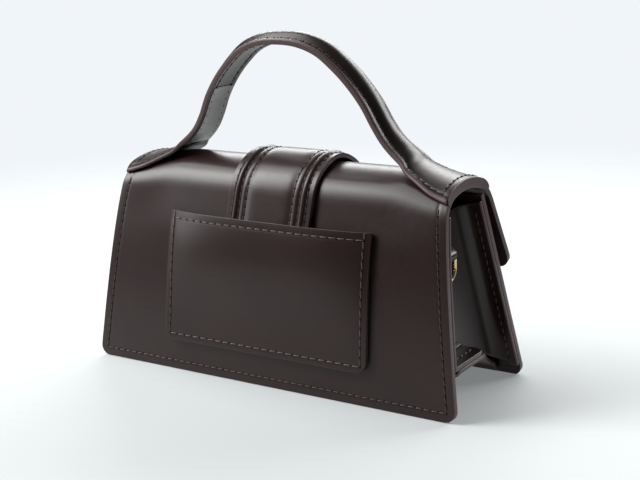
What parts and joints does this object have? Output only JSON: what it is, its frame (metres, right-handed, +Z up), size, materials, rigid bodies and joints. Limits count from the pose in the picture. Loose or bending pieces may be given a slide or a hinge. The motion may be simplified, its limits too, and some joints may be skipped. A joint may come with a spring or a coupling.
{
  "type": "top-handle leather handbag",
  "caption": "Small structured leather handbag with a front flap, arched top handle, centre band, slip pocket on the back and a D-ring on each end.",
  "frame": {"origin": "on the floor, in the middle of the bag's width and depth", "axes": "+X along the bag's width, +Y out of the back with the slip pocket, -Y out of the flap side, +Z up"},
  "size_m": [0.1788, 0.0676, 0.1455],
  "materials": {
    "body_leather": "smooth dark brown leather, soft sheen, painted edges",
    "handle_leather": "smooth dark brown leather over padding, painted edges",
    "gold_metal": "polished pale gold plating"
  },
  "bodies": {
    "bag": {"back_and_flap": "body_leather", "front_panel": "body_leather", "base_panel": "body_leather", "gusset_left": "body_leather", "gusset_right": "body_leather", "back_pocket": "body_leather", "centre_band": "body_leather", "handle": "handle_leather", "ring_loop_left": "body_leather", "ring_loop_right": "body_leather", "magnetic_snap": "gold_metal"},
    "ring_left": {"d_ring_left": "gold_metal"},
    "ring_right": {"d_ring_right": "gold_metal"}
  },
  "joints": [
    {"name": "ring_left_swing", "type": "hinge", "parent": "bag", "child": "ring_left", "pos_m": [-0.07422, 0.00699, 0.059], "axis": [0, 1, 0], "range_deg": [0, 150]},
    {"name": "ring_right_swing", "type": "hinge", "parent": "bag", "child": "ring_right", "pos_m": [0.07422, 0.00699, 0.059], "axis": [0, -1, 0], "range_deg": [0, 150]}
  ]
}
